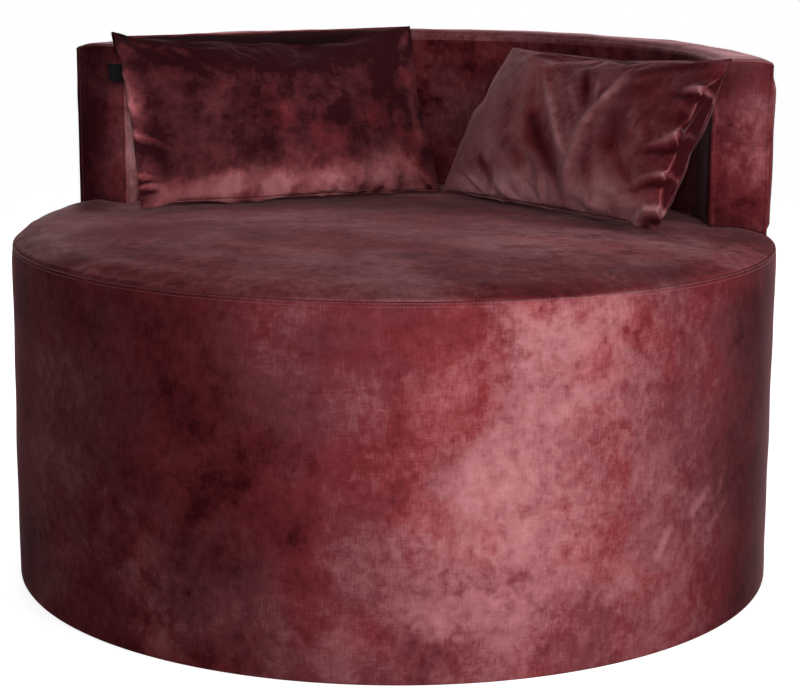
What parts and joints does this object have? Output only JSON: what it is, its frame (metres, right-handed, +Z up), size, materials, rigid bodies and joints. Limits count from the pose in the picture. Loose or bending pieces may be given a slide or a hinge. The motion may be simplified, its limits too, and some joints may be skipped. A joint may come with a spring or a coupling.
{
  "type": "round lounge chair",
  "caption": "Round upholstered lounge chair: a drum-shaped velvet seat with a low curved back and loose square-cornered cushions with zips.",
  "frame": {"origin": "on the floor, under the middle of the drum", "axes": "+Z up; -Y the way the sitter faces; +X to the left hand of someone sitting, which is the right-hand side seen from the front"},
  "size_m": [1.1, 1.1, 0.7647],
  "materials": {
    "velvet": "wine red marbled velvet with a short pile",
    "foam": "cut polyurethane foam, matt",
    "wadding": "white fibre wadding, matt",
    "plywood": "sawn birch plywood, unfinished",
    "timber": "planed softwood, unfinished",
    "hardboard": "thin bending board, unfinished",
    "webbing": "black elastic webbing",
    "lining": "black woven lining cloth",
    "steel": "zinc-plated steel, semi-bright",
    "plastic": "black moulded plastic, matt",
    "zip": "dark coated metal, semi-bright",
    "tab": "black woven tab, bare"
  },
  "bodies": {
    "chair": {"back_bolt_1": "steel", "back_bolt_2": "steel", "back_bolt_3": "steel", "back_bolt_4": "steel", "back_bottom_rib": "plywood", "back_end_cover_left": "velvet", "back_end_cover_right": "velvet", "back_inner_board": "hardboard", "back_inner_foam": "foam", "back_inside_cover": "velvet", "back_outer_board": "hardboard", "back_outer_wadding": "wadding", "back_outside_cover": "velvet", "back_post_1": "timber", "back_post_2": "timber", "back_post_3": "timber", "back_post_4": "timber", "back_post_5": "timber", "back_rail": "timber", "back_top_cover": "velvet", "back_top_foam": "foam", "back_top_rib": "plywood", "base_bottom_ring": "plywood", "base_cover": "velvet", "base_deck_ring": "plywood", "base_post_1": "timber", "base_post_2": "timber", "base_post_3": "timber", "base_post_4": "timber", "base_post_5": "timber", "base_post_6": "timber", "base_side_board": "hardboard", "base_side_foam": "foam", "deck_cloth": "lining", "dust_cover": "lining", "glide_1": "plastic", "glide_2": "plastic", "glide_3": "plastic", "glide_4": "plastic", "glide_5": "plastic", "seat_cover": "velvet", "seat_foam": "foam", "seat_wadding": "wadding", "webbing_across_1": "webbing", "webbing_across_2": "webbing", "webbing_across_3": "webbing", "webbing_across_4": "webbing", "webbing_along_1": "webbing", "webbing_along_2": "webbing", "webbing_along_3": "webbing", "webbing_along_4": "webbing"},
    "left_cushion": {"left_cushion_cover": "velvet", "left_cushion_pad": "wadding", "left_zip_tape": "lining", "left_cushion_tab": "tab"},
    "right_cushion": {"right_cushion_cover": "velvet", "right_cushion_pad": "wadding", "right_zip_tape": "lining"},
    "left_zip": {"left_zip_slider": "zip"},
    "right_zip": {"right_zip_slider": "zip"}
  },
  "joints": [
    {"name": "left_cushion_lift", "type": "slide", "parent": "chair", "child": "left_cushion", "axis": [0, 0, 1], "range_m": [0, 0.45]},
    {"name": "right_cushion_lift", "type": "slide", "parent": "chair", "child": "right_cushion", "axis": [0, 0, 1], "range_m": [0, 0.45]},
    {"name": "left_zip_slide", "type": "slide", "parent": "left_cushion", "child": "left_zip", "axis": [0.809, 0.5878, 0], "range_m": [0, 0.324]},
    {"name": "right_zip_slide", "type": "slide", "parent": "right_cushion", "child": "right_zip", "axis": [0.7547, -0.6561, 0], "range_m": [0, 0.324]}
  ]
}
